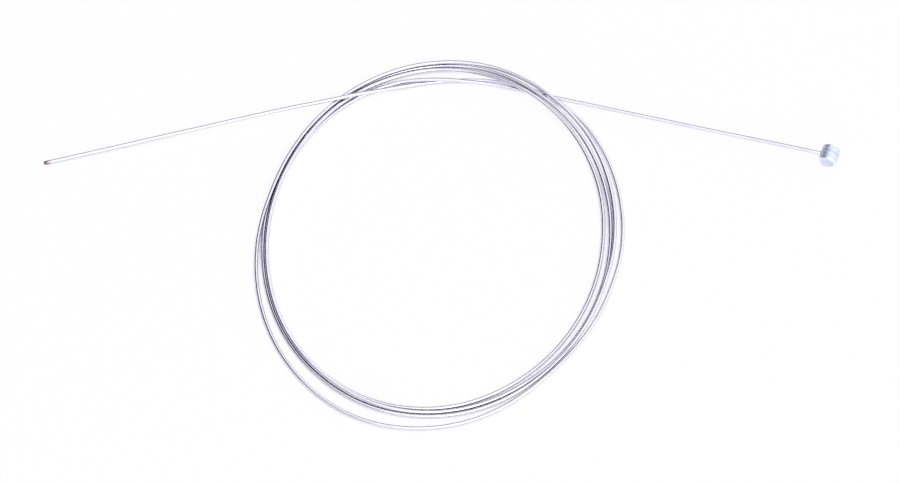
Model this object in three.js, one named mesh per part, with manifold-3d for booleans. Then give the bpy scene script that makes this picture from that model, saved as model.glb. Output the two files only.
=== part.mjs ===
// Inner cable of a bicycle brake, loosely coiled and lying on a flat surface. Millimetres, Z up.
// A wire strand leaves a barrel-shaped cast head, runs into four springy turns and ends in a fused tip.
import * as THREE from 'three';
import { mergeVertices } from 'three/addons/utils/BufferGeometryUtils.js';
import Module from 'manifold-3d';

// Strand: outside diameter of the twisted wires, and the length of each facet along the route.
const STRAND_DIAMETER = 1.5;
const STRAND_SIDES = 8;
const STRAND_STEP = 7;

// Tip: the length of wire that is melted into a bead, and the width that it narrows to.
const FUSED_LENGTH = 1.9;
const FUSED_END_DIAMETER = 1.15;
const FUSED_OVERLAP = 0.5;

// Barrel head: a small drum lying on its side, cast in two halves that meet at the middle of its length.
const HEAD_DIAMETER = 7.3;
const HEAD_LENGTH = 6.5;
const HEAD_DRAFT = 0.13;
const HEAD_HALF_MISMATCH = 0.06;
const HEAD_RIM_RADIUS = 0.55;
const HEAD_RECESS_DIAMETER = 3.7;
const HEAD_RECESS_DEPTH = 0.28;
const HEAD_RECESS_SLOPE = 0.12;
const HEAD_RIDGE_HEIGHT = 0.12;
const HEAD_RIDGE_HALF_WIDTH = 0.2;
const HEAD_SEGMENTS = 40;
const RIM_STEPS = 4;

// Seat of the strand in the head: how far past the middle it stops, and the clearance around it.
const SEAT_CLEARANCE = 0.3;
const SEAT_STOP_FROM_AXIS = 0.6;
const SEAT_MOUTH_FLARE = 0.35;
const SEAT_CUT_BEYOND = 1;
const SEAT_SEGMENTS = 16;

// Where the head lies, from the middle of the coil, how it is turned, and the bearing on which the
// strand runs into it: it was cast on the strand a few degrees off square.
const HEAD_PLACE_X = 148.55;
const HEAD_PLACE_Y = 36.1;
const HEAD_BEARING = -18;
const STRAND_BEARING = -13.6;
const HEAD_STRAIGHT = 6;

// The coil sprang a little longer from front to back than from side to side.
const COIL_OVAL = 1.1;
const COIL_POINTS_PER_ROW = 3;

// Route from the head to the coil: distance right, distance back and height of the strand's middle.
const HEAD_TAIL = [
  [126, 41.59, 3.3],
  [112.7, 44.72, 3.1],
  [99.3, 47.86, 2.95],
  [84.1, 51.54, 2.8],
  [68.8, 55.18, 2.65],
  [57.2, 58.01, 2.5],
];

// Route round the four turns: bearing in degrees, half-width of the coil there, and height of the
// strand's middle. Bearing 0 is the right, 90 the back. The turns lie beside and on each other.
const COIL_ROWS = [
  [51, 71.21, 2.45],
  [55, 68.82, 2.45],
  [60, 66.73, 2.35],
  [66, 65.06, 2.25],
  [72, 63.88, 2.2],
  [80, 62.77, 2.35],
  [88, 62.55, 2.45],
  [95, 62.87, 2.2],
  [101, 63.61, 1.4],
  [108, 64.06, 0.85],
  [120, 64.37, 0.77],
  [150, 65.1, 0.77],
  [180, 65.64, 0.77],
  [210, 66.37, 0.77],
  [240, 64.85, 0.77],
  [270, 61.82, 0.77],
  [300, 59.39, 0.77],
  [330, 59.58, 0.77],
  [360, 61.82, 0.8],
  [380, 64.2, 1.2],
  [400, 65.77, 2.5],
  [411, 66.09, 3.6],
  [420, 66.25, 4.05],
  [428, 66.4, 3.6],
  [438, 66.75, 2.4],
  [450, 66.86, 1.5],
  [465, 66.3, 1.35],
  [480, 65.73, 1.8],
  [492, 65.31, 2.3],
  [510, 64.94, 2.35],
  [540, 65.86, 2.35],
  [570, 66.98, 2.35],
  [600, 65.96, 2.2],
  [615, 64.74, 1.7],
  [630, 63.26, 0.9],
  [660, 61.66, 0.77],
  [690, 62.55, 0.77],
  [720, 64.67, 0.8],
  [740, 66.48, 1.3],
  [757, 67.53, 2.8],
  [768, 67.68, 3.8],
  [776, 67.72, 4.05],
  [785, 68.05, 3.5],
  [797, 68.58, 2],
  [810, 68.44, 0.95],
  [840, 67.17, 0.77],
  [870, 66.81, 0.77],
  [900, 67.29, 0.77],
  [930, 68.09, 0.77],
  [960, 67.1, 0.77],
  [990, 64.8, 0.77],
  [1020, 63.13, 1.25],
  [1034, 62.9, 2.05],
  [1049, 63.26, 2.35],
  [1064, 64.08, 2.35],
  [1080, 66.1, 1.8],
  [1098, 68.26, 1.5],
  [1114, 69.59, 2.7],
  [1125, 69.7, 3.8],
  [1132, 69.7, 4.05],
  [1142, 70.01, 3.5],
  [1155, 70.15, 2.5],
  [1170, 69.32, 2.25],
  [1200, 67.36, 2.35],
  [1230, 66.67, 2.4],
  [1243, 67.11, 2.35],
  [1252, 68.26, 2],
  [1261, 69.53, 1.3],
  [1290, 72.63, 0.77],
  [1320, 72.85, 0.77],
  [1350, 68.9, 0.8],
  [1380, 65.08, 1.6],
  [1390, 64.51, 2.25],
  [1400, 64.69, 2.35],
  [1410, 65.36, 1.9],
  [1425, 66.85, 1],
  [1440, 69.18, 0.77],
  [1465, 71.53, 0.77],
  [1480, 71.83, 0.77],
  [1491, 70.71, 0.77],
  [1503, 68.11, 0.77],
  [1512, 65.78, 0.77],
  [1520, 63.98, 0.77],
  [1528, 62.75, 0.77],
  [1536, 62.06, 0.8],
  [1544, 62, 1.35],
  [1552, 62.77, 2.45],
  [1560, 64.9, 3.7],
  [1565, 66.86, 4],
  [1570, 69.73, 3.95],
];

// Route from the coil to the tip, on the other side.
const TIP_TAIL = [
  [-55.1, 56.75, 3.55],
  [-65.1, 54.59, 3.1],
  [-76.5, 52.01, 2.6],
  [-89.9, 48.84, 2.1],
  [-105.1, 45.32, 1.55],
  [-118.5, 42.08, 1.15],
  [-131.8, 38.85, 0.9],
  [-143.2, 36.02, 0.8],
  [-149.9, 34.39, 0.77],
];

const wasm = await Module();
wasm.setup();

const strandMaterial = new THREE.MeshStandardMaterial({ color: 0xc6c5cb, roughness: 0.32, metalness: 1 });
const headMaterial = new THREE.MeshStandardMaterial({ color: 0xd3d9e6, roughness: 0.42, metalness: 0.9 });

// A closed geometry as a solid that can be joined or cut.
function solidOf(geometry) {
  const bare = geometry.clone();
  bare.deleteAttribute('normal');
  bare.deleteAttribute('uv');
  const merged = mergeVertices(bare);
  const mesh = new wasm.Mesh({
    numProp: 3,
    vertProperties: new Float32Array(merged.attributes.position.array),
    triVerts: new Uint32Array(merged.index.array),
  });
  return new wasm.Manifold(mesh);
}

// The triangles of a solid as a geometry.
function geometryOf(solid) {
  const mesh = solid.getMesh();
  const geometry = new THREE.BufferGeometry();
  geometry.setAttribute('position', new THREE.BufferAttribute(new Float32Array(mesh.vertProperties), 3));
  geometry.setIndex(new THREE.BufferAttribute(new Uint32Array(mesh.triVerts), 1));
  geometry.computeVertexNormals();
  return geometry;
}

// Unit vector on which the strand runs towards the head.
function headDirection() {
  const bearing = THREE.MathUtils.degToRad(STRAND_BEARING);
  return new THREE.Vector3(Math.cos(bearing), Math.sin(bearing), 0);
}

// Middle of the head, lying on its side.
function headMiddle() {
  return new THREE.Vector3(HEAD_PLACE_X, HEAD_PLACE_Y, HEAD_DIAMETER / 2);
}

// Smooth turns: the rows are joined by a curve on bearing, half-width and height.
function coilPoints() {
  const rows = COIL_ROWS.map((row) => new THREE.Vector3(...row));
  const smooth = new THREE.CatmullRomCurve3(rows);
  const steps = (rows.length - 1) * COIL_POINTS_PER_ROW;
  const points = [];
  for (let step = 0; step <= steps; step += 1) {
    const row = smooth.getPoint(step / steps);
    const bearing = THREE.MathUtils.degToRad(row.x);
    const across = row.y * Math.cos(bearing);
    const back = row.y * Math.sin(bearing) * COIL_OVAL;
    const height = Math.max(row.z, STRAND_DIAMETER / 2);
    points.push(new THREE.Vector3(across, back, height));
  }
  return points;
}

// The whole route, from inside the head to the tip.
function strandRoute() {
  const seatEnd = SEAT_STOP_FROM_AXIS + SEAT_CLEARANCE;
  const straightEnd = HEAD_DIAMETER / 2 + HEAD_STRAIGHT;
  const points = [
    headMiddle().addScaledVector(headDirection(), -seatEnd),
    headMiddle().addScaledVector(headDirection(), -straightEnd),
    ...HEAD_TAIL.map((row) => new THREE.Vector3(...row)),
    ...coilPoints(),
    ...TIP_TAIL.map((row) => new THREE.Vector3(...row)),
  ];
  const route = new THREE.CatmullRomCurve3(points);
  route.arcLengthDivisions = points.length * 12;
  return route;
}

// The strand's outside, as one tube swept along the route.
function strandTube(route) {
  const section = new THREE.Shape();
  for (let side = 0; side < STRAND_SIDES; side += 1) {
    const angle = (side + 0.5) * 2 * Math.PI / STRAND_SIDES;
    const x = STRAND_DIAMETER / 2 * Math.cos(angle);
    const y = STRAND_DIAMETER / 2 * Math.sin(angle);
    if (side === 0) {
      section.moveTo(x, y);
    } else {
      section.lineTo(x, y);
    }
  }
  section.closePath();
  const steps = Math.round(route.getLength() / STRAND_STEP);
  return new THREE.ExtrudeGeometry(section, { steps, bevelEnabled: false, extrudePath: route });
}

// The bead at the tip, where the wires are melted together: a short taper with a domed end.
function fusedBead(route) {
  const wide = STRAND_DIAMETER / 2;
  const narrow = FUSED_END_DIAMETER / 2;
  const profile = [
    new THREE.Vector2(0, -FUSED_OVERLAP),
    new THREE.Vector2(narrow, -FUSED_OVERLAP),
    new THREE.Vector2(wide, 0),
    new THREE.Vector2(wide * 0.98, FUSED_LENGTH * 0.4),
    new THREE.Vector2(narrow, FUSED_LENGTH - narrow * 0.6),
    new THREE.Vector2(narrow * 0.7, FUSED_LENGTH - narrow * 0.2),
    new THREE.Vector2(0, FUSED_LENGTH),
  ];
  const bead = new THREE.LatheGeometry(profile, STRAND_SIDES * 2);
  const along = route.getTangentAt(1);
  const turn = new THREE.Quaternion().setFromUnitVectors(new THREE.Vector3(0, 1, 0), along);
  bead.applyQuaternion(turn);
  const end = route.getPointAt(1);
  bead.translate(end.x, end.y, end.z);
  return bead;
}

// Half of the head's outline, from the middle of its length to the middle of its end face.
function headHalfOutline(sign, partingRadius) {
  const half = HEAD_LENGTH / 2;
  const endRadius = partingRadius - HEAD_DRAFT;
  const recess = HEAD_RECESS_DIAMETER / 2;
  const outline = [
    new THREE.Vector2(partingRadius, sign * HEAD_RIDGE_HALF_WIDTH),
  ];
  for (let step = 0; step <= RIM_STEPS; step += 1) {
    const angle = step / RIM_STEPS * Math.PI / 2;
    const radius = endRadius - HEAD_RIM_RADIUS * (1 - Math.cos(angle));
    const along = half - HEAD_RIM_RADIUS * (1 - Math.sin(angle));
    outline.push(new THREE.Vector2(radius, sign * along));
  }
  outline.push(new THREE.Vector2(recess + HEAD_RECESS_SLOPE, sign * half));
  outline.push(new THREE.Vector2(recess, sign * (half - HEAD_RECESS_DEPTH)));
  outline.push(new THREE.Vector2(0, sign * (half - HEAD_RECESS_DEPTH)));
  return outline;
}

// The head: a turned outline with a fine ridge where the halves of the mould met, and the strand's seat.
function barrelHead() {
  const partingRadius = HEAD_DIAMETER / 2 - HEAD_RIDGE_HEIGHT;
  const near = headHalfOutline(-1, partingRadius - HEAD_HALF_MISMATCH);
  const far = headHalfOutline(1, partingRadius);
  const ridge = new THREE.Vector2(HEAD_DIAMETER / 2, 0);
  const outline = [...near.reverse(), ridge, ...far];
  const drum = solidOf(new THREE.LatheGeometry(outline, HEAD_SEGMENTS));

  const bore = STRAND_DIAMETER / 2 + SEAT_CLEARANCE;
  const mouth = HEAD_DIAMETER / 2 - SEAT_MOUTH_FLARE;
  const beyond = HEAD_DIAMETER / 2 + SEAT_CUT_BEYOND;
  const seat = new THREE.LatheGeometry([
    new THREE.Vector2(0, SEAT_STOP_FROM_AXIS),
    new THREE.Vector2(bore, SEAT_STOP_FROM_AXIS),
    new THREE.Vector2(bore, mouth),
    new THREE.Vector2(bore + beyond - mouth, beyond),
    new THREE.Vector2(0, beyond),
  ], SEAT_SEGMENTS);
  seat.rotateZ(Math.PI / 2 + THREE.MathUtils.degToRad(STRAND_BEARING - HEAD_BEARING));
  return geometryOf(drum.subtract(solidOf(seat)));
}

const route = strandRoute();

const wires = solidOf(strandTube(route));
const bead = solidOf(fusedBead(route));
const strand = new THREE.Mesh(geometryOf(wires.add(bead)), strandMaterial);
strand.name = 'strand';

const head = new THREE.Mesh(barrelHead(), headMaterial);
head.name = 'barrel_head';
head.position.copy(headMiddle());
head.rotation.z = THREE.MathUtils.degToRad(HEAD_BEARING);

// The part's origin is on the surface it lies on, under the middle of its outline.
const part = new THREE.Group();
part.add(strand, head);
part.updateMatrixWorld(true);
const box = new THREE.Box3().setFromObject(part, true);
const middle = box.getCenter(new THREE.Vector3());
for (const piece of part.children) {
  piece.position.x -= middle.x;
  piece.position.y -= middle.y;
  piece.position.z -= box.min.z;
}

export default part;
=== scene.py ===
# Looks of the inner cable of a bicycle brake: a bright wire strand, loosely coiled, with a cast
# head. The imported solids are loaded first, and each piece below is put where its solid is.
# Metres, Z up.
import math
import bmesh
import bpy
from mathutils import Matrix, Vector, noise


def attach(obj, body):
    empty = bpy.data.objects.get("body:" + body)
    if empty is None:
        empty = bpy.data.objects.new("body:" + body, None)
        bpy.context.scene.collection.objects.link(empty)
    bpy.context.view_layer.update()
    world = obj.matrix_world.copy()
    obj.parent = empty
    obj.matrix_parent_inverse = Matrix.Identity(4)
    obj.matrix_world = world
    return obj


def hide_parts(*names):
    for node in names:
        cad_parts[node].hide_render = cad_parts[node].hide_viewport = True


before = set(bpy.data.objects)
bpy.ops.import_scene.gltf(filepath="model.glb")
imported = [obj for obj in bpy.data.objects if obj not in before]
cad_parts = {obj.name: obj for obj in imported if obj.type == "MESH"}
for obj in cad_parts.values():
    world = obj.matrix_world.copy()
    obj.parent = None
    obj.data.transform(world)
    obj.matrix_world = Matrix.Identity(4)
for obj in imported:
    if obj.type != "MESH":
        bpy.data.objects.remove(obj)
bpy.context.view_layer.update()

# Camera: a long lens, well above the table in front of the cable, so that its round coil looks
# like a wide oval.
CAMERA_ELEVATION = math.radians(65)
CAMERA_DISTANCE = 3.0
CAMERA_AIM = Vector((0.003350, 0.001262, 0))
CAMERA_LENS = 315.8
CAMERA_SEES_TO = 100


def add_object(name, data):
    """An object with this mesh, camera or lamp, added to the scene."""
    added = bpy.data.objects.new(name, data)
    bpy.context.scene.collection.objects.link(added)
    return added


camera = add_object("camera", bpy.data.cameras.new("camera"))
towards_camera = Vector((0, -math.cos(CAMERA_ELEVATION), math.sin(CAMERA_ELEVATION)))
camera.location = CAMERA_AIM + CAMERA_DISTANCE * towards_camera
camera.rotation_euler = (math.pi / 2 - CAMERA_ELEVATION, 0, 0)
camera.data.lens = CAMERA_LENS
camera.data.clip_end = CAMERA_SEES_TO
bpy.context.scene.camera = camera

# Strand: nineteen hard steel wires laid round each other, twelve of them on the outside, 1.5 mm
# across in all. It runs from the head into four springy turns that lie beside and on each other,
# crosses under and over itself at the back, and its far end is melted into a dark bead.
MM = 0.001
STRAND_DIAMETER = 1.5 * MM
OUTER_WIRES = 12
WIRE_LAY = 13.5 * MM
RING_STEP = 1.0 * MM

# One outer wire's outline: turn from its crest in degrees, distance from the strand's middle, and
# depth in the groove from 0 to 1. It is smooth at its crest, point 2, and creased elsewhere.
WIRE_OUTLINE = [
    (-15, 0.68 * MM, 1.0),
    (-13.4, 0.74 * MM, 0.1),
    (0, 0.75 * MM, 0.0),
    (13.4, 0.74 * MM, 0.1),
]
CREST = 2

# The bead: distance past the wires' end, radius, and how much of the wires' outline is left.
BEAD_RINGS = [
    (0.3 * MM, 0.75 * MM, 0.7),
    (0.6 * MM, 0.74 * MM, 0.35),
    (0.9 * MM, 0.72 * MM, 0.1),
    (1.2 * MM, 0.67 * MM, 0.0),
    (1.5 * MM, 0.59 * MM, 0.0),
    (1.7 * MM, 0.47 * MM, 0.0),
    (1.84 * MM, 0.3 * MM, 0.0),
    (1.9 * MM, 0.12 * MM, 0.0),
]

# The route, in millimetres from the middle of the coil. Its two tails are distances right, back
# and up. The turns are a bearing in degrees from the right, the coil's half-width there, and the
# height. The strand starts inside the head, and is straight for the first stretch out of it.
COIL_MIDDLE = Vector((-0.4485, 0.0049, 0))
HEAD_MIDDLE = Vector((148.55, 36.1, 3.65))
HEAD_BEARING = math.radians(-18)
STRAND_BEARING = math.radians(-13.6)
STRAND_STARTS = 0.9
STRAIGHT_ENDS = 9.65
COIL_OVAL = 1.1
STEPS_PER_COIL_ROW = 3
STEPS_PER_POINT = 24
HEAD_TAIL = [
    (126, 41.59, 3.3), (112.7, 44.72, 3.1), (99.3, 47.86, 2.95),
    (84.1, 51.54, 2.8), (68.8, 55.18, 2.65), (57.2, 58.01, 2.5),
]
COIL_ROWS = [
    (51, 71.21, 2.45), (55, 68.82, 2.45), (60, 66.73, 2.35), (66, 65.06, 2.25),
    (72, 63.88, 2.2), (80, 62.77, 2.35), (88, 62.55, 2.45), (95, 62.87, 2.2),
    (101, 63.61, 1.4), (108, 64.06, 0.85), (120, 64.37, 0.77), (150, 65.1, 0.77),
    (180, 65.64, 0.77), (210, 66.37, 0.77), (240, 64.85, 0.77), (270, 61.82, 0.77),
    (300, 59.39, 0.77), (330, 59.58, 0.77), (360, 61.82, 0.8), (380, 64.2, 1.2),
    (400, 65.77, 2.5), (411, 66.09, 3.6), (420, 66.25, 4.05), (428, 66.4, 3.6),
    (438, 66.75, 2.4), (450, 66.86, 1.5), (465, 66.3, 1.35), (480, 65.73, 1.8),
    (492, 65.31, 2.3), (510, 64.94, 2.35), (540, 65.86, 2.35), (570, 66.98, 2.35),
    (600, 65.96, 2.2), (615, 64.74, 1.7), (630, 63.26, 0.9), (660, 61.66, 0.77),
    (690, 62.55, 0.77), (720, 64.67, 0.8), (740, 66.48, 1.3), (757, 67.53, 2.8),
    (768, 67.68, 3.8), (776, 67.72, 4.05), (785, 68.05, 3.5), (797, 68.58, 2),
    (810, 68.44, 0.95), (840, 67.17, 0.77), (870, 66.81, 0.77), (900, 67.29, 0.77),
    (930, 68.09, 0.77), (960, 67.1, 0.77), (990, 64.8, 0.77), (1020, 63.13, 1.25),
    (1034, 62.9, 2.05), (1049, 63.26, 2.35), (1064, 64.08, 2.35), (1080, 66.1, 1.8),
    (1098, 68.26, 1.5), (1114, 69.59, 2.7), (1125, 69.7, 3.8), (1132, 69.7, 4.05),
    (1142, 70.01, 3.5), (1155, 70.15, 2.5), (1170, 69.32, 2.25), (1200, 67.36, 2.35),
    (1230, 66.67, 2.4), (1243, 67.11, 2.35), (1252, 68.26, 2), (1261, 69.53, 1.3),
    (1290, 72.63, 0.77), (1320, 72.85, 0.77), (1350, 68.9, 0.8), (1380, 65.08, 1.6),
    (1390, 64.51, 2.25), (1400, 64.69, 2.35), (1410, 65.36, 1.9), (1425, 66.85, 1),
    (1440, 69.18, 0.77), (1465, 71.53, 0.77), (1480, 71.83, 0.77), (1491, 70.71, 0.77),
    (1503, 68.11, 0.77), (1512, 65.78, 0.77), (1520, 63.98, 0.77), (1528, 62.75, 0.77),
    (1536, 62.06, 0.8), (1544, 62, 1.35), (1552, 62.77, 2.45), (1560, 64.9, 3.7),
    (1565, 66.86, 4), (1570, 69.73, 3.95),
]
TIP_TAIL = [
    (-55.1, 56.75, 3.55), (-65.1, 54.59, 3.1), (-76.5, 52.01, 2.6),
    (-89.9, 48.84, 2.1), (-105.1, 45.32, 1.55), (-118.5, 42.08, 1.15),
    (-131.8, 38.85, 0.9), (-143.2, 36.02, 0.8), (-149.9, 34.39, 0.77),
]


def smooth_line(points, steps):
    """The line of a springy wire through the points, in this many steps from each to the next."""
    padded = [2 * points[0] - points[1], *points, 2 * points[-1] - points[-2]]
    line = []
    for before, start, end, after in zip(padded, padded[1:], padded[2:], padded[3:]):
        first = math.sqrt((start - before).length)
        second = math.sqrt((end - start).length)
        third = math.sqrt((after - end).length)
        leave = (start - before) / first - (end - before) / (first + second)
        leave += (end - start) / second
        arrive = (end - start) / second - (after - start) / (second + third)
        arrive += (after - end) / third
        leave *= second
        arrive *= second
        rise = 3 * (end - start) - 2 * leave - arrive
        fall = 2 * (start - end) + leave + arrive
        for step in range(steps):
            t = step / steps
            line.append(start + leave * t + rise * t ** 2 + fall * t ** 3)
    return [*line, points[-1]]


def even_steps(line, step):
    """Points a step apart along the line."""
    points = [line[0]]
    wanted = step
    walked = 0
    for start, end in zip(line, line[1:]):
        gap = (end - start).length
        while walked + gap >= wanted:
            points.append(start.lerp(end, (wanted - walked) / gap))
            wanted += step
        walked += gap
    return points


turns = []
coil_rows = [Vector(row) for row in COIL_ROWS]
for degrees, half_width, height in smooth_line(coil_rows, STEPS_PER_COIL_ROW):
    bearing = math.radians(degrees)
    right = half_width * math.cos(bearing)
    back = half_width * math.sin(bearing) * COIL_OVAL
    turns.append(Vector((right, back, max(height, STRAND_DIAMETER / MM / 2))))
into_head = Vector((math.cos(STRAND_BEARING), math.sin(STRAND_BEARING), 0))
route = [
    HEAD_MIDDLE - STRAND_STARTS * into_head,
    HEAD_MIDDLE - STRAIGHT_ENDS * into_head,
    *[Vector(row) for row in HEAD_TAIL],
    *turns,
    *[Vector(row) for row in TIP_TAIL],
]
route = [(point + COIL_MIDDLE) * MM for point in route]
centres = even_steps(smooth_line(route, STEPS_PER_POINT), RING_STEP)

# A ring stands square to the route at each centre, and none is turned about it against the last.
rings = []
across = Vector((0, 0, 1))
for before, centre, after in zip([centres[0], *centres], centres, [*centres[1:], centres[-1]]):
    along = (after - before).normalized()
    across = (across - across.dot(along) * along).normalized()
    rings.append((centre, across, along.cross(across)))

strand_mesh = bmesh.new()
groove = strand_mesh.verts.layers.float.new("groove")
wire_map = strand_mesh.loops.layers.uv.new("wires")


def lay_ring(centre, right, up, twist, ring_radius=STRAND_DIAMETER / 2, wires_left=1.0):
    """One ring of the strand's outline: twelve wires, or the bead where they are melted."""
    narrowed = ring_radius / (STRAND_DIAMETER / 2)
    ring = []
    for wire in range(OUTER_WIRES):
        for turn, radius, depth in WIRE_OUTLINE:
            angle = twist + math.radians(wire * 360 / OUTER_WIRES + turn)
            reach = wires_left * radius * narrowed + (1 - wires_left) * ring_radius
            place = centre + reach * (math.cos(angle) * right + math.sin(angle) * up)
            vertex = strand_mesh.verts.new(place)
            vertex[groove] = depth * wires_left
            ring.append(vertex)
    return ring


def join_rings(first, second, start, end):
    """The faces between two rings, with the wires' own map: distance along, and wires round."""
    count = len(first)
    for side in range(count):
        ahead = (side + 1) % count
        face = strand_mesh.faces.new((first[side], first[ahead], second[ahead], second[side]))
        face.smooth = True
        left, right = side / count, (side + 1) / count
        places = ((start, left), (start, right), (end, right), (end, left))
        for loop, place in zip(face.loops, places):
            loop[wire_map].uv = place
        edge_along = face.loops[3].edge
        edge_along.smooth = side % len(WIRE_OUTLINE) == CREST


def finished_mesh(name, shape):
    """The mesh of a shape whose modelling is done."""
    finished = bpy.data.meshes.new(name)
    shape.to_mesh(finished)
    shape.free()
    return finished


twist_per_metre = 2 * math.pi / WIRE_LAY
laid = [lay_ring(*ring, index * RING_STEP * twist_per_metre) for index, ring in enumerate(rings)]
distances = [index * RING_STEP for index in range(len(rings))]
wires_end = distances[-1]
end_centre, end_right, end_up = rings[-1]
end_along = end_right.cross(end_up)
for past, radius, wires_left in BEAD_RINGS:
    centre = end_centre + past * end_along
    twist = (wires_end + past) * twist_per_metre
    laid.append(lay_ring(centre, end_right, end_up, twist, radius, wires_left))
    distances.append(wires_end + past)
    centres.append(centre)
for first, second, start, end in zip(laid, laid[1:], distances, distances[1:]):
    join_rings(first, second, start, end)
strand_mesh.faces.new(reversed(laid[0]))
strand_mesh.faces.new(laid[-1])
strand_length = distances[-1]


class Flow:
    """A socket of a node tree. Sums on it add Math nodes, and node() adds any other node."""

    def __init__(self, tree, socket=None):
        self.tree = tree
        self.socket = socket

    def node(self, kind, inputs=None, output=0, stops=None, **settings):
        """One output of a new node, which has these settings, and values or links as inputs."""
        made = self.tree.nodes.new("ShaderNode" + kind)
        for name, value in settings.items():
            setattr(made, name, value)
        if stops:
            elements = made.color_ramp.elements
            elements.remove(elements[1])
            elements[0].position = stops[0][0]
            elements[0].color = (*stops[0][1], 1)
            for place, colour in stops[1:]:
                elements.new(place).color = (*colour, 1)
        for name, value in (inputs or {}).items():
            if isinstance(value, Flow):
                self.tree.links.new(value.socket, made.inputs[name])
            else:
                made.inputs[name].default_value = value
        return Flow(self.tree, made.outputs[output]) if made.outputs else None

    def maths(self, operation, *values):
        """What a Math node makes of these values."""
        return self.node("Math", dict(enumerate(values)), operation=operation)

    def ease(self, start, end, low=0.0, high=1.0):
        """A smooth step of this value from low at start to high at end."""
        inputs = {0: self, 1: start, 2: end, 3: low, 4: high}
        return self.node("MapRange", inputs, interpolation_type="SMOOTHSTEP")

    def colours(self, low, high):
        """A colour between low, where this value is 0, and high, where it is 1."""
        return self.node("Mix", {0: self, 6: low, 7: high}, 2, data_type="RGBA")

    def __add__(self, other):
        return self.maths("ADD", self, other)

    def __sub__(self, other):
        return self.maths("SUBTRACT", self, other)

    def __rsub__(self, other):
        return self.maths("SUBTRACT", other, self)

    def __mul__(self, other):
        return self.maths("MULTIPLY", self, other)

    __radd__ = __add__
    __rmul__ = __mul__


def empty_tree(owner):
    """The node tree of a new material or world, with nothing in it yet."""
    owner.use_nodes = True
    owner.node_tree.nodes.clear()
    return Flow(owner.node_tree)


# Drawn steel: bright, with die lines along each wire, a little darker from one wire to the next,
# rougher in the grooves and with painted shade in them, and with painted shade where turns lie
# close together. The bead is scorched brown and violet, with a straw tint behind it.
STEEL_BRIGHT = (0.90, 0.89, 0.96, 1)
STEEL_DULL = (0.77, 0.75, 0.86, 1)
# The groove and gap colours below are painted shade.
STEEL_GROOVE_SHADE = (0.29, 0.27, 0.38, 1)
STEEL_GAP_SHADE = (0.10, 0.09, 0.15, 1)
STEEL_ROUGHNESS = 0.07
GAP_SHADE_REACH = 1.2 * MM
SCRATCH_DEPTH = 0.02 * MM
PATCH_SCALE = 160.0
SCORCH_SCALE = 1500.0

# How close the die lines are along and round a wire, and their shift from wire to wire.
DIE_LINES_ALONG = 90.0
DIE_LINES_AROUND = 9.0
DIE_LINES_APART = 3.7

# The heat's tints: how far back from the tip, as a share of the tinted length, and the colour.
TINT_LENGTH = 5 * MM
HEAT_TINTS = [
    (0.0, (0.220, 0.170, 0.215)),
    (0.25, (0.270, 0.210, 0.270)),
    (0.33, (0.610, 0.430, 0.360)),
    (0.40, (0.480, 0.410, 0.530)),
    (0.48, (0.600, 0.570, 0.700)),
    (0.66, (0.800, 0.770, 0.830)),
    (1.0, (0.880, 0.870, 0.930)),
]

strand_steel = bpy.data.materials.new("strand_steel")
steel = empty_tree(strand_steel)
wire_place = steel.node("UVMap", uv_map="wires")
along = steel.node("SeparateXYZ", {0: wire_place}, "X")
around = steel.node("SeparateXYZ", {0: wire_place}, "Y") * float(OUTER_WIRES)
wire_number = around.maths("FLOOR", around)
wire_shade = steel.node("TexWhiteNoise", {"W": wire_number}, "Value", noise_dimensions="1D")
die_lines_at = steel.node("CombineXYZ", {
    0: along * DIE_LINES_ALONG,
    1: around * DIE_LINES_AROUND,
    2: wire_number * DIE_LINES_APART,
})
die_lines = steel.node("TexNoise", {"Vector": die_lines_at, "Scale": 1.0, "Detail": 3.0}, "Fac")
on_part = steel.node("TexCoord", output="Object")
patches = steel.node("TexNoise", {"Vector": on_part, "Scale": PATCH_SCALE, "Detail": 2.0}, "Fac")
groove_depth = steel.node("Attribute", output="Fac", attribute_name="groove")
dullness = die_lines.ease(0.35, 0.75) * 0.45 + wire_shade * 0.3 + patches.ease(0.4, 0.7) * 0.25
bare_steel = dullness.colours(STEEL_BRIGHT, STEEL_DULL)
in_groove = groove_depth.ease(0.25, 1.0)
# The grooves' darker colour is painted shade.
steel_with_groove_shade = in_groove.colours(bare_steel, STEEL_GROOVE_SHADE)
# Painted shade in the colour, darkest where the strand's turns lie close around a point.
open_around = steel.node(
    "AmbientOcclusion", {"Distance": GAP_SHADE_REACH}, "AO", samples=8, only_local=True
)
gap_shade_mask = open_around.ease(0.68, 0.3)
steel_with_painted_shade = gap_shade_mask.colours(steel_with_groove_shade, STEEL_GAP_SHADE)
from_tip = (strand_length - along) * (1 / TINT_LENGTH)
scorch_noise = steel.node(
    "TexNoise", {"Vector": on_part, "Scale": SCORCH_SCALE, "Detail": 2.0}, "Fac"
)
scorch_at = from_tip + (scorch_noise - 0.5) * 0.12
scorch = steel.node("ValToRGB", {0: scorch_at}, stops=HEAT_TINTS)
near_tip = from_tip.ease(1.0, 0.7)
strand_colour = near_tip.colours(steel_with_painted_shade, scorch)
burnt = from_tip.ease(0.5, 0.25)
strand_roughness = STEEL_ROUGHNESS + dullness * 0.1 + in_groove * 0.25 + burnt * 0.14
scratches = steel.node("Bump", {
    "Strength": 0.2,
    "Distance": SCRATCH_DEPTH,
    "Height": die_lines + burnt * scorch_noise,
})
steel_surface = steel.node("BsdfPrincipled", {
    "Base Color": strand_colour,
    "Metallic": 1.0,
    "Roughness": strand_roughness,
    "Normal": scratches,
})
steel.node("OutputMaterial", {"Surface": steel_surface})


def place_piece(name, mesh, material, slot, *nodes):
    """The finished piece, riding with the part in place of its solids."""
    mesh.materials.append(material)
    piece = add_object(name, mesh)
    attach(piece, "root")
    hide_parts(*nodes)
    return piece


wires = finished_mesh("wire_strand", strand_mesh)
wire_strand = place_piece("wire_strand", wires, strand_steel, "strand_steel", "strand")

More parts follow.
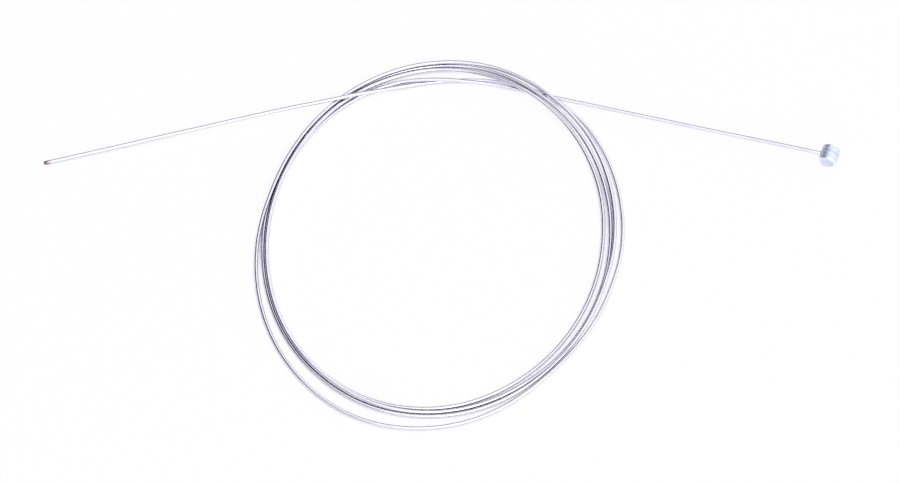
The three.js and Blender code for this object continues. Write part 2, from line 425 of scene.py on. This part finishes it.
# Barrel head: a small drum of zinc, cast on the strand in a mould of two halves. They left a ridge
# round its middle, rounded rims, and a round mark of the mould's pin in each end. It lies on its
# side, and a low collar of zinc runs up round the strand where it enters.
HEAD_RADIUS = 3.65
HEAD_HALF_LENGTH = 3.25
HEAD_DRAFT = 0.13
HALF_MISMATCH = 0.06
RIM_RADIUS = 0.55
RIM_SEGMENTS = 7
RIDGE_HEIGHT = 0.12
RIDGE_HALF_WIDTH = 0.2
PIN_MARK_RADIUS = 1.85
PIN_MARK_DEPTH = 0.24
PIN_MARK_SLOPE = 0.35
LIP_RADIUS = 0.07
LIP_SEGMENTS = 3
END_MARGIN = 0.1
HEAD_STEPS = 144
MERGE_WITHIN = 0.001
SIDE_CUTS = 11
CREASE_ANGLE = math.radians(28)
RIDGE_WEAR = 0.05
WEAR_WAVES = 1.7
WEAR_SHIFT = Vector((9, 0, 0))
COLLAR_RADIUS = 1.15
COLLAR_HEIGHT = 0.07
BORE_RADIUS = 0.7
BORE_DEPTH = 4
BORE_SIDES = 24

# The cast surface is not quite true: height of each ripple, and how close its waves are.
RIPPLES = [
    (0.012, 1.1),
    (0.008, 3.1),
]

# The drum is modelled in millimetres, with Y along it, and the strand running in from the left.
head_blank = bmesh.new()
far_parting = HEAD_RADIUS - RIDGE_HEIGHT
near_parting = far_parting - HALF_MISMATCH
mark_floor = HEAD_HALF_LENGTH - PIN_MARK_DEPTH
mark_edge = PIN_MARK_RADIUS + PIN_MARK_SLOPE
outline = [
    (0, -mark_floor),
    (PIN_MARK_RADIUS, -mark_floor),
    (mark_edge, -HEAD_HALF_LENGTH),
    (near_parting - HEAD_DRAFT, -HEAD_HALF_LENGTH),
    (near_parting, -RIDGE_HALF_WIDTH),
    (HEAD_RADIUS, 0),
    (far_parting, RIDGE_HALF_WIDTH),
    (far_parting - HEAD_DRAFT, HEAD_HALF_LENGTH),
    (mark_edge, HEAD_HALF_LENGTH),
    (PIN_MARK_RADIUS, mark_floor),
    (0, mark_floor),
]
corners = [head_blank.verts.new((radius, along, 0)) for radius, along in outline]
for pair in zip(corners, corners[1:]):
    head_blank.edges.new(pair)
bmesh.ops.spin(
    head_blank, geom=head_blank.verts[:] + head_blank.edges[:], cent=(0, 0, 0), axis=(0, 1, 0),
    angle=2 * math.pi, steps=HEAD_STEPS, use_merge=True,
)
bmesh.ops.remove_doubles(head_blank, verts=head_blank.verts[:], dist=MERGE_WITHIN)
bmesh.ops.recalc_face_normals(head_blank, faces=head_blank.faces[:])


def edges_on_ends(nearest, farthest):
    """The drum's edges that lie on its end faces, this near to its axis and this far from it."""
    def passes(vertex):
        radius = math.hypot(vertex.co.x, vertex.co.z)
        on_end = abs(vertex.co.y) > HEAD_HALF_LENGTH - END_MARGIN
        return on_end and nearest < radius < farthest
    return [edge for edge in head_blank.edges if all(passes(vertex) for vertex in edge.verts)]


def round_edges(edges, radius, segments):
    """The drum's edges, rounded as the mould's corners are."""
    bmesh.ops.bevel(
        head_blank, geom=edges, offset=radius, segments=segments, profile=0.5,
        affect="EDGES", material=-1,
    )


round_edges(edges_on_ends(mark_edge + END_MARGIN, HEAD_RADIUS), RIM_RADIUS, RIM_SEGMENTS)
round_edges(edges_on_ends(0, mark_edge + END_MARGIN), LIP_RADIUS, LIP_SEGMENTS)

# The long edges down its side are cut up, so that the ripples and the collar can shape them.
sides = [
    edge for edge in head_blank.edges
    if abs(edge.verts[0].co.y - edge.verts[1].co.y) > HEAD_HALF_LENGTH / 2
]
bmesh.ops.subdivide_edges(head_blank, edges=sides, cuts=SIDE_CUTS, use_grid_fill=True)
head_blank.normal_update()
strand_bends = STRAND_BEARING - HEAD_BEARING
strand_leaves_at = -math.tan(strand_bends) * HEAD_RADIUS
for vertex in head_blank.verts:
    place = vertex.co
    ripple = sum(height * noise.noise(place * waves) for height, waves in RIPPLES)
    from_strand = math.hypot(place.y - strand_leaves_at, place.z)
    collar = 0
    if place.x < 0 and from_strand < COLLAR_RADIUS:
        collar = COLLAR_HEIGHT * (1 - (from_strand / COLLAR_RADIUS) ** 2) ** 2
    on_ridge = max(0, 1 - abs(place.y) / RIDGE_HALF_WIDTH)
    wear = on_ridge * RIDGE_WEAR * noise.noise(place * WEAR_WAVES + WEAR_SHIFT)
    vertex.co = place + vertex.normal * (ripple + collar + min(wear, 0))

bore_tool = bmesh.new()
bmesh.ops.create_cone(
    bore_tool, cap_ends=True, segments=BORE_SIDES, depth=BORE_DEPTH,
    radius1=BORE_RADIUS, radius2=BORE_RADIUS,
    matrix=Matrix.Rotation(strand_bends, 4, "Z")
    @ Matrix.Translation((-STRAND_STARTS - BORE_DEPTH / 2, 0, 0))
    @ Matrix.Rotation(math.pi / 2, 4, "Y"),
)
blank = add_object("blank", finished_mesh("blank", head_blank))
bore = add_object("bore", finished_mesh("bore", bore_tool))
cut = blank.modifiers.new("bore", "BOOLEAN")
cut.object = bore
cut.solver = "EXACT"
bored = blank.evaluated_get(bpy.context.evaluated_depsgraph_get())
casting = bpy.data.meshes.new_from_object(bored)
casting.name = "cast_head"
for helper in (blank, bore):
    bpy.data.objects.remove(helper)
head_place = (HEAD_MIDDLE + COIL_MIDDLE) * MM
casting.transform(
    Matrix.Translation(head_place)
    @ Matrix.Rotation(HEAD_BEARING, 4, "Z")
    @ Matrix.Scale(MM, 4)
)
casting.shade_smooth()
casting.set_sharp_from_angle(angle=CREASE_ANGLE)

# Cast zinc: pale and bluish, mottled where it cooled first, with a fine skin, brighter on the
# rims, partly from rubbing and partly a painted highlight, and with a painted shadow along the far
# foot of the ridge.
ZINC_BRIGHT = (0.77, 0.82, 0.95, 1)
ZINC_MOTTLED = (0.60, 0.67, 0.86, 1)
# The colours below include a bright rim, partly a painted highlight, and a painted shadow by the
# ridge.
ZINC_RUBBED_AND_HIGHLIT = (0.93, 0.95, 0.99, 1)
ZINC_RIDGE_SHADOW = (0.36, 0.42, 0.55, 1)
ZINC_ROUGHNESS = 0.36
BLOTCH_SCALE = 1300.0
SKIN_SCALE = 3600.0
CAST_DEPTH = 0.03 * MM

# Where the bright rims start, along the drum and out from its axis, and the painted ridge shadow's
# edges.
RUBBED_AND_HIGHLIT_ALONG = (2.6 * MM, 2.85 * MM)
RUBBED_AND_HIGHLIT_ACROSS = (2.6 * MM, 2.9 * MM)
RIDGE_SHADOW_STARTS = (0.05 * MM, 0.2 * MM)
RIDGE_SHADOW_ENDS = (0.5 * MM, 0.35 * MM)

cast_zinc = bpy.data.materials.new("cast_zinc")
zinc = empty_tree(cast_zinc)
on_head = zinc.node("Mapping", {
    "Vector": zinc.node("TexCoord", output="Object"),
    "Location": head_place,
    "Rotation": (0, 0, HEAD_BEARING),
}, vector_type="TEXTURE")
blotches = zinc.node(
    "TexNoise", {"Vector": on_head, "Scale": BLOTCH_SCALE, "Detail": 4.0}, "Fac"
)
skin = zinc.node("TexNoise", {"Vector": on_head, "Scale": SKIN_SCALE, "Detail": 3.0}, "Fac")
along_head = zinc.node("SeparateXYZ", {0: on_head}, "Y")
from_middle = along_head.maths("ABSOLUTE", along_head)
across_head = zinc.node("VectorMath", {0: on_head, 1: (1, 0, 1)}, operation="MULTIPLY")
from_axis = zinc.node("VectorMath", {0: across_head}, "Value", operation="LENGTH")
# The rims' brighter colour is partly wear from rubbing and partly a painted highlight.
rubbed_and_highlit = from_middle.ease(*RUBBED_AND_HIGHLIT_ALONG) * from_axis.ease(*RUBBED_AND_HIGHLIT_ACROSS)
# A painted shadow in the colour, along the far foot of the ridge.
beside_ridge = along_head.ease(*RIDGE_SHADOW_STARTS) * along_head.ease(*RIDGE_SHADOW_ENDS)
painted_ridge_shadow = beside_ridge * blotches.ease(0.3, 0.5)
mottle = blotches.ease(0.38, 0.66) * (1 - rubbed_and_highlit)
mottled_zinc = mottle.colours(ZINC_BRIGHT, ZINC_MOTTLED)
zinc_with_ridge_shadow = (painted_ridge_shadow * 0.8).colours(mottled_zinc, ZINC_RIDGE_SHADOW)
zinc_colour = rubbed_and_highlit.colours(zinc_with_ridge_shadow, ZINC_RUBBED_AND_HIGHLIT)
zinc_roughness = ZINC_ROUGHNESS + mottle * 0.12 + skin * 0.08
bare_metal = 0.9 - mottle * 0.4
zinc_bump = zinc.node("Bump", {
    "Strength": 0.3,
    "Distance": CAST_DEPTH,
    "Height": blotches * 0.6 + skin * 0.4,
})
zinc_surface = zinc.node("BsdfPrincipled", {
    "Base Color": zinc_colour,
    "Metallic": bare_metal,
    "Roughness": zinc_roughness,
    "Normal": zinc_bump,
})
zinc.node("OutputMaterial", {"Surface": zinc_surface})
place_piece("cast_head", casting, cast_zinc, "cast_head", "barrel_head")

# Table and light: a plain white sheet under an overhead soft box, in a white tent that is open to
# a darker room on the left and behind. The sheet is shaded only where a piece is close above it.
FLOOR_SIZE = 8.0
FLOOR_GLOW = 0.9
SHADE_REACH = 1.6 * MM
SHEET_WHITE = (0.93, 0.93, 0.96, 1)
TENT_LIGHT = (1.22, 1.22, 1.24, 1)
ROOM_DARK = (0.045, 0.038, 0.12, 1)
WHITE = (1, 1, 1, 1)
SOFT_BOX_SIZE = 0.9
SOFT_BOX_POWER = 5
SOFT_BOX_PLACE = Vector((0.43, -0.77, 1.46))

white_sheet = bpy.data.materials.new("white_sheet")
sheet = empty_tree(white_sheet)
seen_directly = sheet.node("LightPath", output="Is Camera Ray")
seen_in_gloss = sheet.node("LightPath", output="Is Glossy Ray")
seen_through = sheet.node("LightPath", output="Is Transmission Ray")
seen = seen_directly + seen_in_gloss + seen_through
open_above = sheet.node("AmbientOcclusion", {"Distance": SHADE_REACH}, "AO", samples=12)
lit = sheet.node("BsdfDiffuse", {"Color": SHEET_WHITE})
glow = sheet.node("Emission", {"Color": WHITE, "Strength": 1.0})
glowing = seen * open_above.ease(0.3, 0.85) * FLOOR_GLOW
sheet_surface = sheet.node("MixShader", {0: glowing, 1: lit, 2: glow})
sheet.node("OutputMaterial", {"Surface": sheet_surface})

floor_shape = bmesh.new()
bmesh.ops.create_grid(floor_shape, x_segments=1, y_segments=1, size=FLOOR_SIZE / 2)
floor = add_object("floor", finished_mesh("floor", floor_shape))
floor.data.materials.append(white_sheet)

tent_world = bpy.data.worlds.new("tent")
tent = empty_tree(tent_world)
direction = tent.node("TexCoord", output="Generated")
leftwards = tent.node("SeparateXYZ", {0: direction}, "X") * -1.0
backwards = tent.node("SeparateXYZ", {0: direction}, "Y")
upwards = tent.node("SeparateXYZ", {0: direction}, "Z")
left_opening = leftwards.ease(0.25, 0.42) * backwards.ease(-0.4, 0.1, 0.5, 1.0)
to_back_left = leftwards * 0.75 + backwards * 0.66
back_opening = to_back_left.ease(0.25, 0.5) * upwards.ease(0.78, 0.55) * 0.85
opening = left_opening.maths("MAXIMUM", left_opening, back_opening)
tent_colour = opening.colours(TENT_LIGHT, ROOM_DARK)
seen_sky = tent.node("LightPath", output="Is Camera Ray").colours(tent_colour, WHITE)
sky = tent.node("Background", {"Color": seen_sky, "Strength": 1.0})
tent.node("OutputWorld", {"Surface": sky})
bpy.context.scene.world = tent_world

soft_box = add_object("soft_box", bpy.data.lights.new("soft_box", "AREA"))
soft_box.data.shape = "SQUARE"
soft_box.data.size = SOFT_BOX_SIZE
soft_box.data.energy = SOFT_BOX_POWER
soft_box.location = SOFT_BOX_PLACE
soft_box.rotation_euler = (-SOFT_BOX_PLACE).to_track_quat("-Z", "Y").to_euler()

bpy.context.scene.view_settings.view_transform = "Standard"
